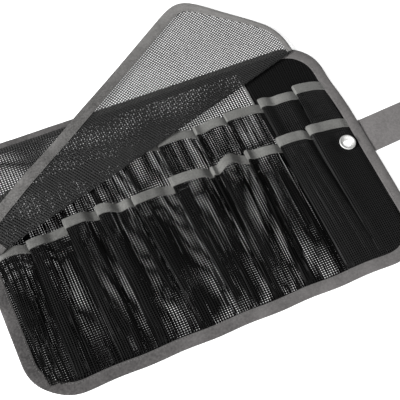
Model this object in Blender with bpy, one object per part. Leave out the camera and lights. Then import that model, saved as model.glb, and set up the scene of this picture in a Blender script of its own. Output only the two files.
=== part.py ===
"""A fishing jig wrap, lying open on its back.

A flat mesh panel, bound round its edge with tape, carries two rows of ten pleated
pockets. A mesh flap is sewn along the back edge and lies folded back over itself. A
flat strap leaves the right edge beside a metal eyelet.

X runs along the wrap's width, Y from its front edge to its back edge, and Z is up. The
origin is on the panel's underside, at the panel's centre. Lengths are in metres.
"""

import math
from collections import namedtuple

import bmesh
import bpy
from mathutils import Vector

# Cloth
CLOTH = 0.0010
GAP = 0.0003
PLY = CLOTH + GAP

# Panel, measured over its binding
COLUMNS = 10
POCKET_PITCH = 0.050
SIDE_MARGIN = 0.011
PANEL_WIDTH = COLUMNS * POCKET_PITCH + 2 * SIDE_MARGIN
PANEL_DEPTH = 0.343
CORNER_RADIUS = 0.057
CORNER_STEPS = 7
END_COLUMNS = 2

# Binding of the panel
BINDING_WIDTH = 0.0152
UNDER_WING = 0.0095
BINDING_HEIGHT = 3 * CLOTH + 2 * GAP

# Rows of pockets: their mouths, measured from the panel's front edge. They keep their
# place below the back edge, so the pockets get deeper when the panel does
REAR_MOUTH_BELOW_BACK = 0.070
REAR_MOUTH = PANEL_DEPTH - REAR_MOUTH_BELOW_BACK
ROW_STEP = 0.066
FRONT_MOUTH = REAR_MOUTH - ROW_STEP
TAPE_WIDTH = 0.0125
REAR_CROWN = 0.0060
FRONT_CROWN = 0.0056
PLEAT_LAP = 0.0053
PLEAT_TURN = 0.0015

# Eyelet and strap: from the right edge, and from the front edge. The eyelet sits below
# the front mouths' tape, and the strap starts beside it
GROMMET_INSET = 0.030
GROMMET_BELOW_MOUTH = 0.032
GROMMET_DEPTH = FRONT_MOUTH - GROMMET_BELOW_MOUTH
GROMMET_RADIUS = 0.011
GROMMET_BORE = 0.0058
GROMMET_WALL = 0.0011
STRAP_WIDTH = 0.050
STRAP_BESIDE_GROMMET = 0.0015
STRAP_DEPTH = GROMMET_DEPTH + STRAP_BESIDE_GROMMET
STRAP_REACH = 0.090
STRAP_ROOT = 0.0150
STRAP_TURN = math.radians(3.5)

# Flap, folded over itself
FLAP_DEPTH = 0.194
FLAP_HALF_WIDTH = 0.249
FLAP_TAPE = 0.0022
FOLD_INSET = 0.048
FOLD_BACK = 0.017
FOLD_ANGLE = math.radians(16.5)
FOLD_RADIUS = 0.0022
FOLD_STEPS = 4
FLAP_CELLS = 20
CELLS_UNDER = 8
CELLS_OVER = 5
FLAP_TAIL = 0.017
FLAP_DROP = 0.0039
DROP_LENGTH = 0.055

# Where each pocket's section has its points, as shares of the pocket's width
ACROSS = (0.10, 0.25, 0.40, 0.64, 0.82)
MOUTH_CROWN = (0.95, 1.00, 0.95, 0.70, 0.00)
BODY_CROWN = (0.85, 1.00, 1.00, 0.88, 0.08)

# How full each pocket stands at those points, as shares of its row's crown
Fullness = namedtuple("Fullness", "start quarter middle late")
REAR_FULLNESS = (
    Fullness(0.50, 0.85, 1.00, 0.95),
    Fullness(1.00, 0.97, 0.92, 1.00),
    Fullness(1.00, 1.00, 0.92, 0.95),
    Fullness(1.00, 0.94, 0.98, 1.00),
    Fullness(1.00, 1.00, 0.95, 0.92),
    Fullness(1.00, 0.98, 1.00, 1.00),
    Fullness(1.00, 0.95, 0.92, 0.96),
    Fullness(1.00, 1.00, 0.96, 0.96),
    Fullness(1.00, 1.00, 0.92, 1.00),
    Fullness(1.00, 0.98, 0.85, 0.60),
)
FRONT_FULLNESS = (
    Fullness(0.50, 0.85, 1.00, 0.95),
    Fullness(1.00, 1.00, 0.93, 1.00),
    Fullness(1.00, 1.00, 0.96, 0.93),
    Fullness(1.00, 0.96, 0.93, 1.00),
    Fullness(1.00, 0.97, 0.95, 0.93),
    Fullness(1.00, 1.00, 1.00, 1.00),
    Fullness(1.00, 1.00, 0.93, 0.93),
    Fullness(1.00, 0.94, 0.97, 1.00),
    Fullness(1.00, 1.00, 0.97, 0.95),
    Fullness(1.00, 0.90, 0.60, 0.30),
)

# Half of the flap's outline before it is folded: how far down from the panel's back
# edge, and how far out from its middle, as shares of its depth and its half width
Side = namedtuple("Side", "down out")
FLAP_SIDE = (
    Side(0.098, 0.931),
    Side(0.168, 0.965),
    Side(0.250, 0.987),
    Side(0.343, 1.000),
    Side(0.475, 0.982),
    Side(0.671, 0.938),
    Side(0.832, 0.900),
    Side(0.915, 0.872),
    Side(0.965, 0.835),
    Side(0.990, 0.790),
    Side(1.000, 0.720),
)
FLAP_LEFT_SIDE = (
    Side(0.130, 0.855),
    Side(0.200, 0.930),
    Side(0.280, 0.965),
    Side(0.400, 0.977),
    Side(0.840, 0.977),
    Side(0.930, 0.950),
    Side(0.985, 0.890),
    Side(1.000, 0.800),
)

# How high the flap lies, over the rear mouths and over the front mouths
FLAP_BACK = CLOTH + GAP + CLOTH / 2
OVER_REAR = FLAP_BACK + REAR_CROWN + 2 * PLY + GAP
OVER_FRONT = OVER_REAR + 2 * PLY + CLOTH

# How far the flap takes to rise: from the back binding, from there at its left side,
# and over the front mouths. Toward its right end it stays lower by a share
RISE_LENGTH = 0.050
LEFT_RISE_LENGTH = 0.028
FRONT_RISE = 0.020
FRONT_RISE_START = 0.028
FRONT_RISE_REACH = 0.110
FRONT_RISE_FADE = 0.060
RIGHT_FALL = 0.55
RIGHT_FALL_REACH = 0.240
RIGHT_FALL_LENGTH = 0.120

# The helpers that trim the strips and pierce them reach from below them to above
TRIM_BELOW = 0.010
TRIM_HEIGHT = 0.060

# The eyelet's flanges lie on either side of what it pierces
PIERCED = 4 * PLY
GROMMET_SIDES = 28

LEFT = -PANEL_WIDTH / 2
RIGHT = PANEL_WIDTH / 2
FRONT = -PANEL_DEPTH / 2
BACK = PANEL_DEPTH / 2
INSIDE = BINDING_WIDTH + GAP
GROMMET = Vector((RIGHT - GROMMET_INSET, FRONT + GROMMET_DEPTH, 0))
FOLD_END = Vector((RIGHT - FOLD_INSET, BACK - FOLD_BACK, 0))
ALONG_FOLD = Vector((math.cos(FOLD_ANGLE), math.sin(FOLD_ANGLE), 0))
OVER_FOLD = Vector((-math.sin(FOLD_ANGLE), math.cos(FOLD_ANGLE), 0))


def smooth(t):
    """Rises from 0 to 1 without a corner as t does."""
    t = min(max(t, 0.0), 1.0)
    return t * t * (3 - 2 * t)


def ramp(x, start, end, low, high):
    """A straight slope from low at start to high at end, and level beside it."""
    t = min(max((x - start) / (end - start), 0.0), 1.0)
    return low + (high - low) * t


def material(name, colour, roughness, metallic=0.0):
    made = bpy.data.materials.new(name)
    made.use_nodes = True
    shader = made.node_tree.nodes["Principled BSDF"]
    shader.inputs["Base Color"].default_value = (*colour, 1)
    shader.inputs["Roughness"].default_value = roughness
    shader.inputs["Metallic"].default_value = metallic
    return made


def add(name, bm, finish, smooth_angle=None):
    mesh = bpy.data.meshes.new(name)
    bm.to_mesh(mesh)
    bm.free()
    mesh.materials.append(finish)
    if smooth_angle is not None:
        mesh.shade_smooth()
        mesh.set_sharp_from_angle(angle=smooth_angle)
    obj = bpy.data.objects.new(name, mesh)
    bpy.context.scene.collection.objects.link(obj)
    return obj


def thicken(obj):
    """Gives a sheet the cloth's thickness, half to each side."""
    solid = obj.modifiers.new("cloth", "SOLIDIFY")
    solid.thickness = CLOTH
    solid.offset = 0
    solid.use_even_offset = True
    solid.use_quality_normals = True
    return obj


def cloth(name, across, along, place, finish, closed=False):
    """A grid of cloth, moved onto its shape by place(i, j) and given its thickness."""
    bm = bmesh.new()
    bmesh.ops.create_grid(bm, x_segments=across, y_segments=along, size=0.5)
    for vert in bm.verts:
        i = round((vert.co.x + 0.5) * across)
        j = round((vert.co.y + 0.5) * along)
        vert.co = place(i, j)
    if closed:
        bmesh.ops.remove_doubles(bm, verts=bm.verts, dist=1e-6)
    return thicken(add(name, bm, finish, math.radians(40)))


def loft(name, rings, finish):
    """A solid through closed rings of points, the same number in each, capped at its ends."""
    count = len(rings[0])
    bm = bmesh.new()
    bmesh.ops.create_grid(bm, x_segments=count, y_segments=len(rings) - 1, size=0.5)
    for vert in bm.verts:
        i = round((vert.co.x + 0.5) * count)
        j = round((vert.co.y + 0.5) * (len(rings) - 1))
        vert.co = rings[j][i % count]
    bmesh.ops.remove_doubles(bm, verts=bm.verts, dist=1e-6)
    ends = [edge for edge in bm.edges if edge.is_boundary]
    bmesh.ops.holes_fill(bm, edges=ends)
    bmesh.ops.recalc_face_normals(bm, faces=bm.faces)
    return add(name, bm, finish, math.radians(40))


def rounded_outline(inset, right_inset=None):
    """The panel's outline moved inwards: the same number of points for every inset."""
    radius = CORNER_RADIUS - inset
    right_radius = radius if right_inset is None else PLY
    right = RIGHT - (inset if right_inset is None else right_inset)
    corners = (
        (right, FRONT + inset, -90, -1, 1, right_radius),
        (right, BACK - inset, 0, -1, -1, right_radius),
        (LEFT + inset, BACK - inset, 90, 1, -1, radius),
        (LEFT + inset, FRONT + inset, 180, 1, 1, radius),
    )
    points = []
    for x, y, start, to_x, to_y, radius in corners:
        centre = Vector((x + to_x * radius, y + to_y * radius, 0))
        for step in range(CORNER_STEPS):
            turn = math.radians(start + 90 * step / (CORNER_STEPS - 1))
            points.append(centre + radius * Vector((math.cos(turn), math.sin(turn), 0)))
    return points


def stitch_x(k):
    """Where the stitch line on the left of column k runs."""
    if k == 0:
        return LEFT + INSIDE
    if k == COLUMNS:
        return RIGHT - INSIDE
    return LEFT + SIDE_MARGIN + k * POCKET_PITCH


LAST_STITCH = stitch_x(COLUMNS - 1)
LIFT_FROM = LAST_STITCH + ACROSS[0] * (stitch_x(COLUMNS) - LAST_STITCH)
LIFT_TO = LAST_STITCH + ACROSS[1] * (stitch_x(COLUMNS) - LAST_STITCH)


def end_lift(x):
    """The panel stands a ply higher at its right end, over the eyelet and the strap."""
    return ramp(x, LIFT_FROM, LIFT_TO, 0, PLY)


def panel_ring(inset, right_inset, height):
    return [point + Vector((0, 0, height)) for point in rounded_outline(inset, right_inset)]


def cut_at(bm, x, keep_left):
    geometry = bm.verts[:] + bm.edges[:] + bm.faces[:]
    bmesh.ops.bisect_plane(
        bm,
        geom=geometry,
        plane_co=(x, 0, 0),
        plane_no=(1, 0, 0),
        clear_outer=keep_left,
        clear_inner=not keep_left,
    )


def panel_part(name, finish, keep_left):
    """The panel's sheet, from its rim in the binding to its level middle, cut at the seam."""
    rings = (
        panel_ring(PLY, None, PLY),
        panel_ring(UNDER_WING + 2 * GAP, RIGHT - LIFT_TO, PLY),
        panel_ring(INSIDE - GAP, RIGHT - LIFT_FROM, 0),
    )
    bm = bmesh.new()
    loops = []
    for ring in rings:
        verts = [bm.verts.new(point + Vector((0, 0, CLOTH / 2))) for point in ring]
        loops.append([bm.edges.new(pair) for pair in zip(verts, verts[1:] + verts[:1])])
    for outer, inner in zip(loops, loops[1:]):
        bmesh.ops.bridge_loops(bm, edges=outer + inner)
    bmesh.ops.contextual_create(bm, geom=loops[-1])
    bmesh.ops.recalc_face_normals(bm, faces=bm.faces)
    seam = stitch_x(COLUMNS - END_COLUMNS) - PLEAT_LAP
    cut_at(bm, seam - GAP / 2 if keep_left else seam + GAP / 2, keep_left)
    return thicken(add(name, bm, finish))


def edge_binding(finish):
    """Tape folded over the panel's edge: under wing, outer side and upper wing."""
    half = CLOTH / 2
    top = BINDING_HEIGHT - half
    bend = 0.8 * CLOTH
    profile = (
        (UNDER_WING, half),
        (half + bend, half),
        (half, half + bend),
        (half, top - bend),
        (half + bend, top),
        (BINDING_WIDTH, top),
    )
    rings = [rounded_outline(inset) for inset, _ in profile]
    count = len(rings[0])

    def place(i, j):
        return rings[j][i % count] + Vector((0, 0, profile[j][1]))

    return cloth("edge_binding", count, len(profile) - 1, place, finish, closed=True)


Row = namedtuple("Row", "y lap stack crown fill seat flat")


def rear_rows():
    """The rear strip from its mouths down to the front binding, at its pleats' stations."""
    sheet = CLOTH / 2 + PLY
    below = REAR_MOUTH - FRONT_MOUTH
    over = GROMMET_DEPTH + GROMMET_RADIUS + TAPE_WIDTH / 4
    under = GROMMET_DEPTH - GROMMET_RADIUS - TAPE_WIDTH / 4
    return (
        Row(REAR_MOUTH, 1, 3 * PLY, REAR_CROWN, 0.0, sheet, sheet),
        Row(REAR_MOUTH - TAPE_WIDTH, 1, 3 * PLY, REAR_CROWN, 0.0, sheet, sheet),
        Row(FRONT_MOUTH + 0.28 * below, 1, PLY, 0.95 * REAR_CROWN, 0.6, sheet, sheet),
        Row(FRONT_MOUTH, 1, PLY, 0.30 * REAR_CROWN, 1.0, sheet, sheet),
        Row(over, 0, PLY, 0.10 * REAR_CROWN, 1.0, sheet, sheet),
        Row(under, 0, 0, 0.05 * REAR_CROWN, 1.0, sheet, sheet),
        Row(0.25 * FRONT_MOUTH, 0, 0, 0, 1.0, sheet, sheet),
        Row(BINDING_WIDTH / 2, 0, 0, 0, 1.0, sheet, sheet),
    )


def front_rows():
    """The front strip: it rests on the rear strip, and on that one's pleats at its mouths."""
    low = CLOTH / 2 + 2 * PLY
    high = low + 2 * PLY
    over = GROMMET_DEPTH + GROMMET_RADIUS + TAPE_WIDTH / 4
    under = GROMMET_DEPTH - GROMMET_RADIUS - TAPE_WIDTH / 4
    body = FRONT_CROWN + 2 * PLY
    return (
        Row(FRONT_MOUTH, 1, 3 * PLY, FRONT_CROWN, 0.0, high, low),
        Row(FRONT_MOUTH - TAPE_WIDTH, 1, 3 * PLY, FRONT_CROWN, 0.0, high, low),
        Row(over, 1, 2 * PLY, FRONT_CROWN, 0.3, high, low),
        Row(under, 1, PLY, 0.86 * body, 1.0, low, low),
        Row(0.53 * FRONT_MOUTH, 1, PLY, 0.80 * body, 1.0, low, low),
        Row(0.29 * FRONT_MOUTH, 1, PLY, 0.55 * body, 1.0, low, low),
        Row(0.14 * FRONT_MOUTH, 1, PLY, 0.32 * body, 1.0, low, low),
        Row(BINDING_WIDTH / 2, 1, PLY, 0.22 * body, 1.0, low, low),
    )


def flat_at_grommet(row, share):
    """The last pocket is pressed flat where the eyelet goes through it."""
    near = abs(row.y - GROMMET_DEPTH) < GROMMET_RADIUS + TAPE_WIDTH / 2
    return near and share >= ACROSS[2]


def section(row, fullness):
    """One row's section across all the pockets, as (x, z) of the sheet's middle."""
    points = []
    for k in range(COLUMNS):
        start, width = stitch_x(k), stitch_x(k + 1) - stitch_x(k)
        lap, stack = (row.lap, row.stack) if k else (0, 0)
        ease = 0 if stack else PLEAT_TURN
        over = stack + PLY if stack else 0
        edge = -PLEAT_LAP if lap else 2 * PLEAT_TURN
        pleat = (
            (PLEAT_TURN - ease, 0),
            (PLEAT_TURN, stack),
            (edge, stack),
            (edge + ease / 2, over),
        )
        points += [(start + dx, row.seat + end_lift(start + dx) + dz) for dx, dz in pleat]
        full = (*fullness[k], 1)
        for share, mouth, body, part in zip(ACROSS, MOUTH_CROWN, BODY_CROWN, full):
            x = start + share * width
            height = part * row.crown * (mouth + (body - mouth) * row.fill)
            if k == COLUMNS - 1 and flat_at_grommet(row, share):
                height = row.flat - row.seat
            if share == ACROSS[0]:
                height = max(height, over)
            points.append((x, row.seat + end_lift(x) + height))
    end = stitch_x(COLUMNS)
    level = row.flat if flat_at_grommet(row, 1) else row.seat
    points.append((end + GAP, level + end_lift(end)))
    return points


def beside(points, distance):
    """The same section moved to its outer side, with square corners."""
    moved = []
    for i, (x, z) in enumerate(points):
        before = Vector((x, z)) - Vector(points[max(i - 1, 0)])
        after = Vector(points[min(i + 1, len(points) - 1)]) - Vector((x, z))
        before = (before if i else after).normalized()
        after = (after if after.length else before).normalized()
        out_before, out_after = Vector((-before.y, before.x)), Vector((-after.y, after.x))
        corner = (out_before + out_after).normalized()
        reach = distance / max(corner.dot(out_after), 0.5)
        moved.append((x + corner.x * reach, z + corner.y * reach))
    return moved


def panel_prism(name, inset):
    """A tall block with the panel's outline moved inwards: it trims the pocket strips."""
    bm = bmesh.new()
    outline = rounded_outline(inset)
    face = bm.faces.new([bm.verts.new(point - Vector((0, 0, TRIM_BELOW))) for point in outline])
    top = bmesh.ops.extrude_face_region(bm, geom=[face])["geom"]
    lifted = [item for item in top if isinstance(item, bmesh.types.BMVert)]
    bmesh.ops.translate(bm, verts=lifted, vec=(0, 0, TRIM_HEIGHT))
    bmesh.ops.recalc_face_normals(bm, faces=bm.faces)
    return helper(add(name, bm, BLACK_NET))


def helper(obj):
    obj.hide_render = True
    obj.display_type = "WIRE"
    return obj


def boolean(obj, other, operation):
    cut = obj.modifiers.new(other.name, "BOOLEAN")
    cut.object = other
    cut.operation = operation
    cut.solver = "EXACT"


def pocket_strip(name, rows, fullness, finish, trim):
    rings = []
    for row in rows:
        middle = section(row, fullness)
        around = beside(middle, CLOTH / 2) + beside(middle, -CLOTH / 2)[::-1]
        rings.append([Vector((x, FRONT + row.y, z)) for x, z in around])
    strip = loft(name, rings, finish)
    boolean(strip, trim, "INTERSECT")
    return strip


def mouth_tape(name, row, fullness, finish, trim):
    """Tape that covers the mouths' edge and the front of the strip below it."""
    middle = section(row, fullness)
    edge, top, low = FRONT + row.y + GAP, FRONT + row.y + PLY, FRONT + row.y - TAPE_WIDTH
    near, outside = PLY - CLOTH / 2, PLY + CLOTH / 2
    profile = (
        (-CLOTH / 2, edge),
        (-CLOTH / 2, top),
        (outside, top),
        (outside, low),
        (near, low),
        (near, edge),
    )
    lines = [(beside(middle, distance), y) for distance, y in profile]
    rings = [[Vector((line[i][0], y, line[i][1])) for line, y in lines] for i in range(len(middle))]
    tape = loft(name, rings, finish)
    boolean(tape, trim, "INTERSECT")
    return tape


def under_height(x, y):
    """How high the flap's lower layer lies over the panel and the mouths."""
    border = BACK - INSIDE
    y = min(y, border)
    left_side = 1 - smooth((x - LEFT - CORNER_RADIUS) / CORNER_RADIUS)
    rise_length = RISE_LENGTH + (LEFT_RISE_LENGTH - RISE_LENGTH) * left_side
    share = smooth((border - y) / rise_length)
    fall = RIGHT_FALL * smooth((x - RIGHT + RIGHT_FALL_REACH) / RIGHT_FALL_LENGTH)
    height = FLAP_BACK + (OVER_REAR - FLAP_BACK) * share * (1 - fall)
    height += end_lift(x)
    to_front = smooth((FRONT + FRONT_MOUTH + FRONT_RISE_START - y) / FRONT_RISE)
    beside_front = 1 - smooth((x - LEFT - FRONT_RISE_REACH) / FRONT_RISE_FADE)
    return height + (OVER_FRONT - OVER_REAR) * to_front * beside_front


def over_height(x, y):
    """How high the flap's upper layer lies: clear of the lower, then down past the edge."""
    past = smooth((y - BACK - PLY) / DROP_LENGTH)
    return under_height(x, y) + 2 * FOLD_RADIUS - FLAP_DROP * past


def folded(flat, lift=0.0):
    """Where a point of the unfolded flap lies, lift to its outer side, once it is folded."""
    offset = flat - FOLD_END
    s, q = offset.dot(ALONG_FOLD), offset.dot(OVER_FOLD)
    turned = (FOLD_RADIUS - q) / FOLD_RADIUS
    if turned <= 0:
        return Vector((flat.x, flat.y, under_height(flat.x, flat.y) - lift))
    line = FOLD_END + ALONG_FOLD * s
    if turned <= math.pi:
        middle = line + OVER_FOLD * FOLD_RADIUS
        height = under_height(middle.x, middle.y) + FOLD_RADIUS
        reach = FOLD_RADIUS + lift
        spot = middle - OVER_FOLD * reach * math.sin(turned)
        return Vector((spot.x, spot.y, height - reach * math.cos(turned)))
    spot = line + OVER_FOLD * (2 * FOLD_RADIUS - q - math.pi * FOLD_RADIUS)
    return Vector((spot.x, spot.y, over_height(spot.x, spot.y) + lift))


def side_points(table, sign):
    return [
        Vector((sign * side.out * FLAP_HALF_WIDTH, BACK - side.down * FLAP_DEPTH, 0))
        for side in table
    ]


def flap_edge():
    """The free edges of the unfolded flap, from the fold's right end round to the left."""
    fold_start = FOLD_END - OVER_FOLD * ((math.pi - 1) * FOLD_RADIUS + GAP)
    start = fold_start + ALONG_FOLD * FLAP_TAIL
    right = side_points(FLAP_SIDE, 1)
    left = side_points(FLAP_LEFT_SIDE, -1)
    return [start] + right[1:] + left[::-1]


def inward(points, i):
    """The direction into the cloth at a point of the free edges."""
    before, after = points[max(i - 1, 0)], points[min(i + 1, len(points) - 1)]
    along = (after - before).normalized()
    return Vector((along.y, -along.x, 0))


def moved_in(points, distance):
    return [point + inward(points, i) * distance for i, point in enumerate(points)]


def fold_creases():
    """Where the unfolded flap bends, as distances beyond the fold's end."""
    return [FOLD_RADIUS * (1 - math.pi * step / FOLD_STEPS) for step in range(FOLD_STEPS + 1)]


def slice_bm(bm, point, normal):
    geometry = bm.verts[:] + bm.edges[:] + bm.faces[:]
    bmesh.ops.bisect_plane(bm, geom=geometry, plane_co=point, plane_no=normal, dist=1e-6)


def flap(finish):
    """The flap's sheet: its pattern is cut, creased in lines beside the fold, and folded."""
    edge = moved_in(flap_edge(), BINDING_WIDTH + 2 * GAP)
    corner = edge[0] - ALONG_FOLD * FLAP_TAIL
    back = BACK - INSIDE
    right_end = Vector((LIFT_FROM, back - GAP, 0))
    left_end = Vector((edge[-1].x + CORNER_RADIUS / 3, back, 0))
    outline = [right_end, corner] + edge + [left_end]
    bm = bmesh.new()
    bm.faces.new([bm.verts.new(point) for point in outline])
    for crease in fold_creases():
        slice_bm(bm, FOLD_END + OVER_FOLD * crease, OVER_FOLD)
    cell = PANEL_WIDTH / FLAP_CELLS
    for step in range(1, FLAP_CELLS):
        slice_bm(bm, FOLD_END - ALONG_FOLD * cell * (step - 0.5), ALONG_FOLD)
    for step in range(-CELLS_UNDER, CELLS_OVER + 1):
        if step:
            slice_bm(bm, FOLD_END + OVER_FOLD * cell * step, OVER_FOLD)
    bmesh.ops.triangulate(bm, faces=[face for face in bm.faces if len(face.verts) > 4])
    for vert in bm.verts:
        vert.co = folded(vert.co)
    bmesh.ops.recalc_face_normals(bm, faces=bm.faces)
    return thicken(add("flap", bm, finish, math.radians(40)))


def crossings(a, b):
    """Where the outline from a to b crosses the creases beside the fold, in order."""
    start, end = ((point - FOLD_END).dot(OVER_FOLD) for point in (a, b))
    if start == end:
        return []
    shares = [(crease - start) / (end - start) for crease in fold_creases()]
    return sorted(share for share in shares if 0 < share < 1)


def flap_binding(finish):
    """Tape folded flat over the flap's free edges, and over the fold with them."""
    line = [flap_edge()[0]]
    for a, b in zip(flap_edge(), flap_edge()[1:]):
        parts = max(1, round((b - a).length / BINDING_WIDTH))
        shares = {part / parts for part in range(1, parts + 1)}
        if a.x < 0:
            creases = crossings(a, b)
            shares.update(creases)
        line += [a.lerp(b, share) for share in sorted(shares)]
    half, soft = FLAP_TAPE / 2, 0.3 * FLAP_TAPE
    profile = (
        (BINDING_WIDTH, half),
        (soft, half),
        (0, half - soft),
        (0, soft - half),
        (soft, -half),
        (BINDING_WIDTH, -half),
    )
    insets = [moved_in(line, inset) for inset, _ in profile]
    rings = [
        [folded(inset[i], lift) for inset, (_, lift) in zip(insets, profile)]
        for i in range(len(line))
    ]
    return loft("flap_binding", rings, finish)


def strap_block(name, grow, top, finish):
    """A flat strap lying on the ground, from under the panel's rim to its cut end."""
    bm = bmesh.new()
    bmesh.ops.create_cube(bm, size=1)
    length = STRAP_ROOT + STRAP_REACH
    size = Vector((length + 2 * grow, STRAP_WIDTH + 2 * grow, top + grow))
    bmesh.ops.scale(bm, vec=size, verts=bm.verts)
    bmesh.ops.translate(bm, vec=(length / 2 - STRAP_ROOT, 0, (top - grow) / 2), verts=bm.verts)
    made = add(name, bm, finish)
    made.location = (RIGHT, FRONT + STRAP_DEPTH, 0)
    made.rotation_euler = (0, 0, STRAP_TURN)
    return made


def grommet(finish, top):
    """A plated eyelet, turned from its section: lower flange, barrel and domed upper flange."""
    barrel = GROMMET_BORE + GROMMET_WALL
    crest = (barrel + GROMMET_RADIUS) / 2
    profile = (
        (GROMMET_BORE, 0),
        (GROMMET_RADIUS, 0),
        (GROMMET_RADIUS, CLOTH),
        (barrel, CLOTH),
        (barrel, top),
        (GROMMET_RADIUS, top),
        (GROMMET_RADIUS - GAP, top + 0.6 * CLOTH),
        (crest, top + CLOTH),
        (barrel, top + 0.8 * CLOTH),
        (GROMMET_BORE, top + 0.2 * CLOTH),
    )
    bm = bmesh.new()
    verts = [bm.verts.new((r, 0, z)) for r, z in profile]
    edges = [bm.edges.new(pair) for pair in zip(verts, verts[1:] + verts[:1])]
    bmesh.ops.spin(
        bm,
        geom=verts + edges,
        axis=(0, 0, 1),
        cent=(0, 0, 0),
        angle=2 * math.pi,
        steps=GROMMET_SIDES,
        use_merge=True,
    )
    bmesh.ops.recalc_face_normals(bm, faces=bm.faces)
    made = add("grommet", bm, finish, math.radians(35))
    made.location = GROMMET
    return made


def grommet_hole(radius):
    bm = bmesh.new()
    bmesh.ops.create_cone(
        bm,
        cap_ends=True,
        segments=GROMMET_SIDES,
        radius1=radius,
        radius2=radius,
        depth=TRIM_HEIGHT,
    )
    made = helper(add("grommet_hole", bm, BLACK_NET))
    made.location = GROMMET
    return made


for old in list(bpy.data.objects):
    bpy.data.objects.remove(old, do_unlink=True)

BLACK_NET = material("black_net", (0.012, 0.012, 0.013), 0.35)
BLACK_CLOTH = material("black_cloth", (0.006, 0.006, 0.007), 0.85)
GREY_TAPE = material("grey_tape", (0.18, 0.175, 0.17), 0.9)
STEEL = material("bright_steel", (0.80, 0.80, 0.80), 0.22, 1.0)

inner_edge = panel_prism("inner_edge", INSIDE)
hole = grommet_hole(GROMMET_BORE + GROMMET_WALL + GAP)

back_panel = panel_part("back_panel", BLACK_NET, True)
end_panel = panel_part("end_panel", BLACK_CLOTH, False)
binding = edge_binding(GREY_TAPE)
rear = pocket_strip("rear_pockets", rear_rows(), REAR_FULLNESS, BLACK_NET, inner_edge)
front = pocket_strip("front_pockets", front_rows(), FRONT_FULLNESS, BLACK_NET, inner_edge)
mouth_tape("rear_pocket_binding", rear_rows()[0], REAR_FULLNESS, GREY_TAPE, inner_edge)
mouth_tape("front_pocket_binding", front_rows()[0], FRONT_FULLNESS, GREY_TAPE, inner_edge)
flap(BLACK_NET)
flap_binding(GREY_TAPE)

strap_block("closing_strap", 0, CLOTH, GREY_TAPE)
notch = helper(strap_block("strap_notch", GAP, CLOTH, GREY_TAPE))
boolean(binding, notch, "DIFFERENCE")

grommet(STEEL, PIERCED)
for pierced in (end_panel, rear, front):
    boolean(pierced, hole, "DIFFERENCE")
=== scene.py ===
# %% [markdown]
# # A fishing jig wrap
# The wrap is a flat panel of black net with a grey tape folded over its edge. Two rows of
# ten pleated pockets are sewn on it, a net flap is folded back over itself, and a grey
# strap leaves the right side beside a metal eyelet. The frame comes first: the solids of
# the wrap are already in place, and every piece here is made in the same metres.

# %% Load the frame
import math
import random
from bisect import bisect_right
from collections import namedtuple
from functools import lru_cache

import bmesh
import bpy
from mathutils import Matrix, Vector


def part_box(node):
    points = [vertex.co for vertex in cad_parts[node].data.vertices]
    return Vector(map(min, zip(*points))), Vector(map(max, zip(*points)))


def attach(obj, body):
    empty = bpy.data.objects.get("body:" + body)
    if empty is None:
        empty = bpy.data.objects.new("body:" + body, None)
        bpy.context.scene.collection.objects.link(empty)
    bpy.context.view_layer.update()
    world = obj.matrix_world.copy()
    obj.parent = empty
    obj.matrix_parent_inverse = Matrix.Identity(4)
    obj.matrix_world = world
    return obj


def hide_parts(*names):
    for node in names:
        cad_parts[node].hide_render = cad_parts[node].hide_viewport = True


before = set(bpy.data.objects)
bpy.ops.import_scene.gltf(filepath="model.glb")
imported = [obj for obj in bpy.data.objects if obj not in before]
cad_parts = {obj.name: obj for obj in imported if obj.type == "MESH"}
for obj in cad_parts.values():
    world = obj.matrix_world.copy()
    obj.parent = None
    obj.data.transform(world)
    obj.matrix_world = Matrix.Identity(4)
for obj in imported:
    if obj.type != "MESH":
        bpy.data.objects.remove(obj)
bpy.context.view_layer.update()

scene = bpy.context.scene

# %% [markdown]
# The wrap was photographed from its front left corner, from high up. Three turns say
# this best: round Z for the side, then the tilt down, then the roll round the view.

# %% Camera
CAMERA_PLACE = (-0.2956, -0.4649, 1.0892)
CAMERA_SIDE = math.radians(-33.795)
CAMERA_TILT = math.radians(90 - 62.703)
CAMERA_ROLL = math.radians(10.292)
CAMERA_LENS = 87.5

camera_data = bpy.data.cameras.new("camera")
camera_data.lens = CAMERA_LENS
camera_data.sensor_width = 36
camera = bpy.data.objects.new("camera", camera_data)
turn = Matrix.Rotation(CAMERA_SIDE, 4, "Z") @ Matrix.Rotation(CAMERA_TILT, 4, "X")
turn = turn @ Matrix.Rotation(CAMERA_ROLL, 4, "Z")
camera.matrix_world = Matrix.Translation(CAMERA_PLACE) @ turn
scene.collection.objects.link(camera)
scene.camera = camera
print("camera at", CAMERA_PLACE)

# %% [markdown]
# The sizes come from the solids where a box can give them. The rest are the wrap's own:
# ten pockets 50 mm apart, a binding 15 mm wide and corners with a radius of 57 mm.

# %% Sizes
low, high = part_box("edge_binding")
LEFT, FRONT, RIGHT, BACK = low[0], low[1], high[0], high[1]
WIDTH, DEPTH = RIGHT - LEFT, BACK - FRONT
COLUMNS = 10
PITCH = 0.050
MARGIN = (WIDTH - COLUMNS * PITCH) / 2
CORNER = 0.057
BINDING = 0.0152
eyelet_low, eyelet_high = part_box("grommet")
EYELET = Vector(((eyelet_low[0] + eyelet_high[0]) / 2, (eyelet_low[1] + eyelet_high[1]) / 2, 0))
EYELET_RADIUS = (eyelet_high[0] - eyelet_low[0]) / 2
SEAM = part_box("back_panel")[1][0]
print(f"panel {WIDTH * 1000:.0f} x {DEPTH * 1000:.0f} mm, seam at {SEAM * 1000:.0f} mm")


# %% [markdown]
# A few small helpers are used by all the pieces: an eased step, a value between two others,
# a curve through points that hardly swings past them, and a test against an outline.

# %% Helpers for shapes
def smooth(t):
    t = min(max(t, 0.0), 1.0)
    return t * t * (3 - 2 * t)


def mixed(a, b, t):
    return a + (b - a) * t


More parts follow.
